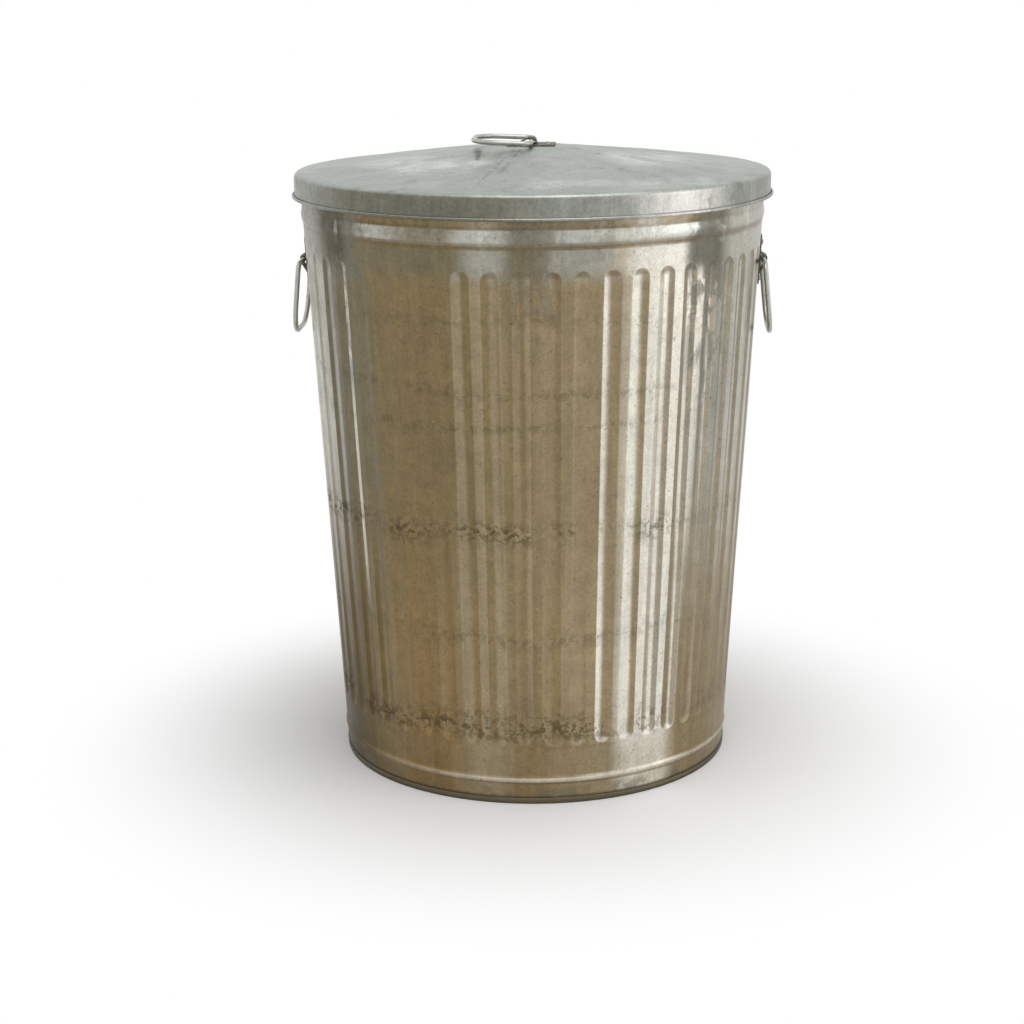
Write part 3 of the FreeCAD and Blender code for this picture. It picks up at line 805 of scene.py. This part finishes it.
side_wall(wall_finish())
bottom_pan(plain_metal("galvanized_pan", PAN_TONE, 0.45))
lid_shell(lid_finish())

pivots = {joint["child"]: Vector(joint.get("pos_m", (0, 0, 0))) for joint in frame["joints"]}
for handle, handle_body, size, tilt, side in HANDLES:
    wire_ring(handle, handle_body, *size, tilt, Vector((side, 0, 0)), pivots[handle_body], wire_metal)

rivet_metal = plain_metal("rivet_steel", RIVET_TONE, 0.4)
NODE_METALS = {
    "rim_wire": wire_metal,
    "right_ear": ear_metal,
    "left_ear": ear_metal,
    "lid_ear": ear_metal,
}
for node_name, node_piece in frame["nodes"].items():
    node_metal = NODE_METALS.get(node_name, rivet_metal if "rivet" in node_name else None)
    if node_metal:
        for material_slot in node_piece.material_slots:
            material_slot.material = node_metal


# ---- floor, light and camera ----------------------------------------------------------------------------
def math_node(tree, operation, *sources):
    node = tree.nodes.new("ShaderNodeMath")
    node.operation = operation
    for socket, source in zip(node.inputs, sources):
        tree.links.new(source, socket)
    return node.outputs[0]


def shown_only(tree):
    """1 for what the camera, a mirror or glass shows, and 0 for light that falls on things."""
    path = tree.nodes.new("ShaderNodeLightPath").outputs
    seen = math_node(tree, "MAXIMUM", path["Is Camera Ray"], path["Is Glossy Ray"])
    return math_node(tree, "MAXIMUM", seen, path["Is Transmission Ray"])


def floor():
    """A pale floor that takes the shadow and turns into the white background farther out."""
    material = bpy.data.materials.new("pale_floor")
    material.use_nodes = True
    tree = material.node_tree
    shader = tree.nodes["Principled BSDF"]
    shader.inputs["Base Color"].default_value = FLOOR_TONE
    shader.inputs["Roughness"].default_value = FLOOR_ROUGHNESS
    shader.inputs["Specular IOR Level"].default_value = FLOOR_SPECULAR
    glow = tree.nodes.new("ShaderNodeEmission")
    coordinates = tree.nodes.new("ShaderNodeTexCoord")
    length = tree.nodes.new("ShaderNodeVectorMath")
    length.operation = "LENGTH"
    far = tree.nodes.new("ShaderNodeMapRange")
    far.interpolation_type = "SMOOTHSTEP"
    far.inputs["From Min"].default_value, far.inputs["From Max"].default_value = FLOOR_FADE
    blend = tree.nodes.new("ShaderNodeMixShader")
    tree.links.new(coordinates.outputs["Object"], length.inputs[0])
    tree.links.new(length.outputs["Value"], far.inputs["Value"])
    glowing = math_node(tree, "MULTIPLY", far.outputs["Result"], shown_only(tree))
    tree.links.new(glowing, blend.inputs[0])
    tree.links.new(shader.outputs[0], blend.inputs[1])
    tree.links.new(glow.outputs[0], blend.inputs[2])
    tree.links.new(blend.outputs[0], tree.nodes["Material Output"].inputs["Surface"])
    mesh = bpy.data.meshes.new("floor")
    corners = [(x * FLOOR_HALF, y * FLOOR_HALF, 0) for x, y in ((-1, -1), (1, -1), (1, 1), (-1, 1))]
    mesh.from_pydata(corners, [], [(0, 1, 2, 3)])
    mesh.materials.append(material)
    plane = bpy.data.objects.new("floor", mesh)
    bpy.context.collection.objects.link(plane)


def world():
    """Even light, with a white background for the camera and for what the metal mirrors."""
    scene_world = bpy.data.worlds.new("studio")
    bpy.context.scene.world = scene_world
    scene_world.use_nodes = True
    tree = scene_world.node_tree
    level = tree.nodes.new("ShaderNodeMapRange")
    level.inputs["To Min"].default_value = WORLD_LIGHT
    level.inputs["To Max"].default_value = 1.0
    tree.links.new(shown_only(tree), level.inputs["Value"])
    tree.links.new(level.outputs["Result"], tree.nodes["Background"].inputs["Strength"])
    tree.nodes["Background"].inputs["Color"].default_value = (1, 1, 1, 1)


def softbox(name, azimuth, distance, height, size, power):
    """A rectangular lamp that faces the middle of the can."""
    lamp = bpy.data.lights.new(name, "AREA")
    lamp.shape = "RECTANGLE"
    lamp.size, lamp.size_y = size
    lamp.energy = power
    lamp_object = bpy.data.objects.new(name, lamp)
    lamp_object.location = facing(CAMERA_AZIMUTH + azimuth) * distance + Vector((0, 0, height))
    towards = LAMP_AIM - lamp_object.location
    lamp_object.rotation_euler = towards.to_track_quat("-Z", "Y").to_euler()
    bpy.context.collection.objects.link(lamp_object)


def camera():
    yaw, pitch, roll = (math.radians(angle) for angle in (CAMERA_YAW, CAMERA_PITCH, CAMERA_ROLL))
    turned = Matrix.Rotation(math.radians(CAMERA_AZIMUTH), 3, "Z")
    forward = Vector((math.sin(yaw) * math.cos(pitch), math.cos(yaw) * math.cos(pitch), -math.sin(pitch)))
    right = forward.cross(Vector((0, 0, 1))).normalized()
    up = right.cross(forward)
    right, up = right * math.cos(roll) + up * math.sin(roll), up * math.cos(roll) - right * math.sin(roll)
    axes = Matrix((turned @ right, turned @ up, turned @ -forward)).transposed()
    data = bpy.data.cameras.new("photo_view")
    data.lens = CAMERA_LENS
    view = bpy.data.objects.new("photo_view", data)
    place = facing(CAMERA_AZIMUTH) * CAMERA_DISTANCE + Vector((0, 0, CAMERA_HEIGHT))
    view.matrix_world = Matrix.Translation(place) @ axes.to_4x4()
    bpy.context.collection.objects.link(view)
    bpy.context.scene.camera = view


floor()
world()
for lamp_settings in LAMPS:
    softbox(*lamp_settings)
camera()
bpy.context.scene.view_settings.view_transform = "Standard"
